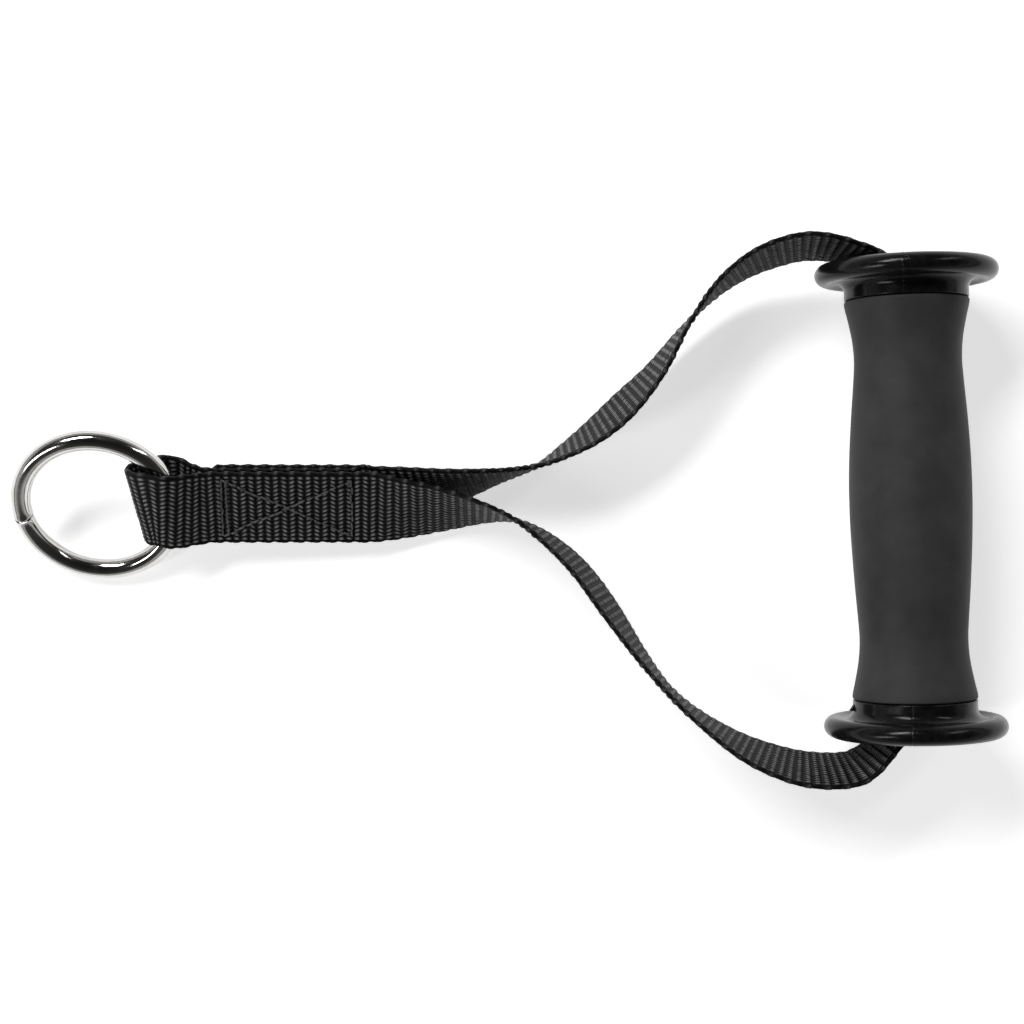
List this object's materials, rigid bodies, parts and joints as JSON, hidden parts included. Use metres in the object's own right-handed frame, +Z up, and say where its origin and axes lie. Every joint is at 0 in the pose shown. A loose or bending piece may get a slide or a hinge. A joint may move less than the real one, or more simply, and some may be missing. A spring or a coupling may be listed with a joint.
{
  "type": "exercise pulley stirrup handle",
  "caption": "Stirrup hand grip for a cable or pulley exerciser: a webbing loop through a contoured grip with flanged ends, sewn around a welded steel ring.",
  "frame": {"origin": "middle of the underside of the whole handle as it lies on a table", "axes": "+Z up, ring towards -X, grip at +X with its axis close to Y"},
  "size_m": [0.3047, 0.1668, 0.0548],
  "materials": {
    "webbing": "ribbed black nylon webbing",
    "thread": "black bonded sewing thread",
    "ring": "polished plating over welded steel",
    "caps": "glossy moulded black",
    "tube": "plain extruded black",
    "grip": "satin dark grey rubber"
  },
  "bodies": {
    "strap_arms": {"webbing_lower_arm": "webbing", "webbing_tube_run": "webbing", "webbing_upper_arm": "webbing"},
    "handle": {"grip_sleeve": "grip", "core_tube": "tube", "end_cap_upper": "caps", "end_cap_lower": "caps"},
    "strap_tab": {"webbing_hidden_end": "webbing", "webbing_front_layer": "webbing", "webbing_back_layer": "webbing", "stitching_needle_thread": "thread", "stitching_bobbin_thread": "thread"},
    "ring_loop": {"webbing_ring_fold": "webbing"},
    "ring": {"welded_ring": "ring"}
  },
  "joints": [
    {"name": "handle_spin", "type": "hinge", "parent": "strap_arms", "child": "handle", "pos_m": [0.1232, 0.0034, 0.0274], "axis": [-0.0222, 0.9998, 0], "continuous": true},
    {"name": "tab_fold", "type": "hinge", "parent": "strap_arms", "child": "strap_tab", "pos_m": [-0.04109, 0.0021, 0.01124], "axis": [0.0442, 0.8489, 0.5267], "range_deg": [-55, 55]},
    {"name": "loop_flex", "type": "hinge", "parent": "strap_tab", "child": "ring_loop", "pos_m": [-0.09383, 0.00152, 0.01661], "axis": [0.0442, 0.8489, 0.5267], "range_deg": [-30, 30]},
    {"name": "ring_pivot", "type": "hinge", "parent": "ring_loop", "child": "ring", "pos_m": [-0.1043, 0.00333, 0.01725], "axis": [-0.1171, 0.8317, 0.5427], "range_deg": [-38, 45]}
  ]
}
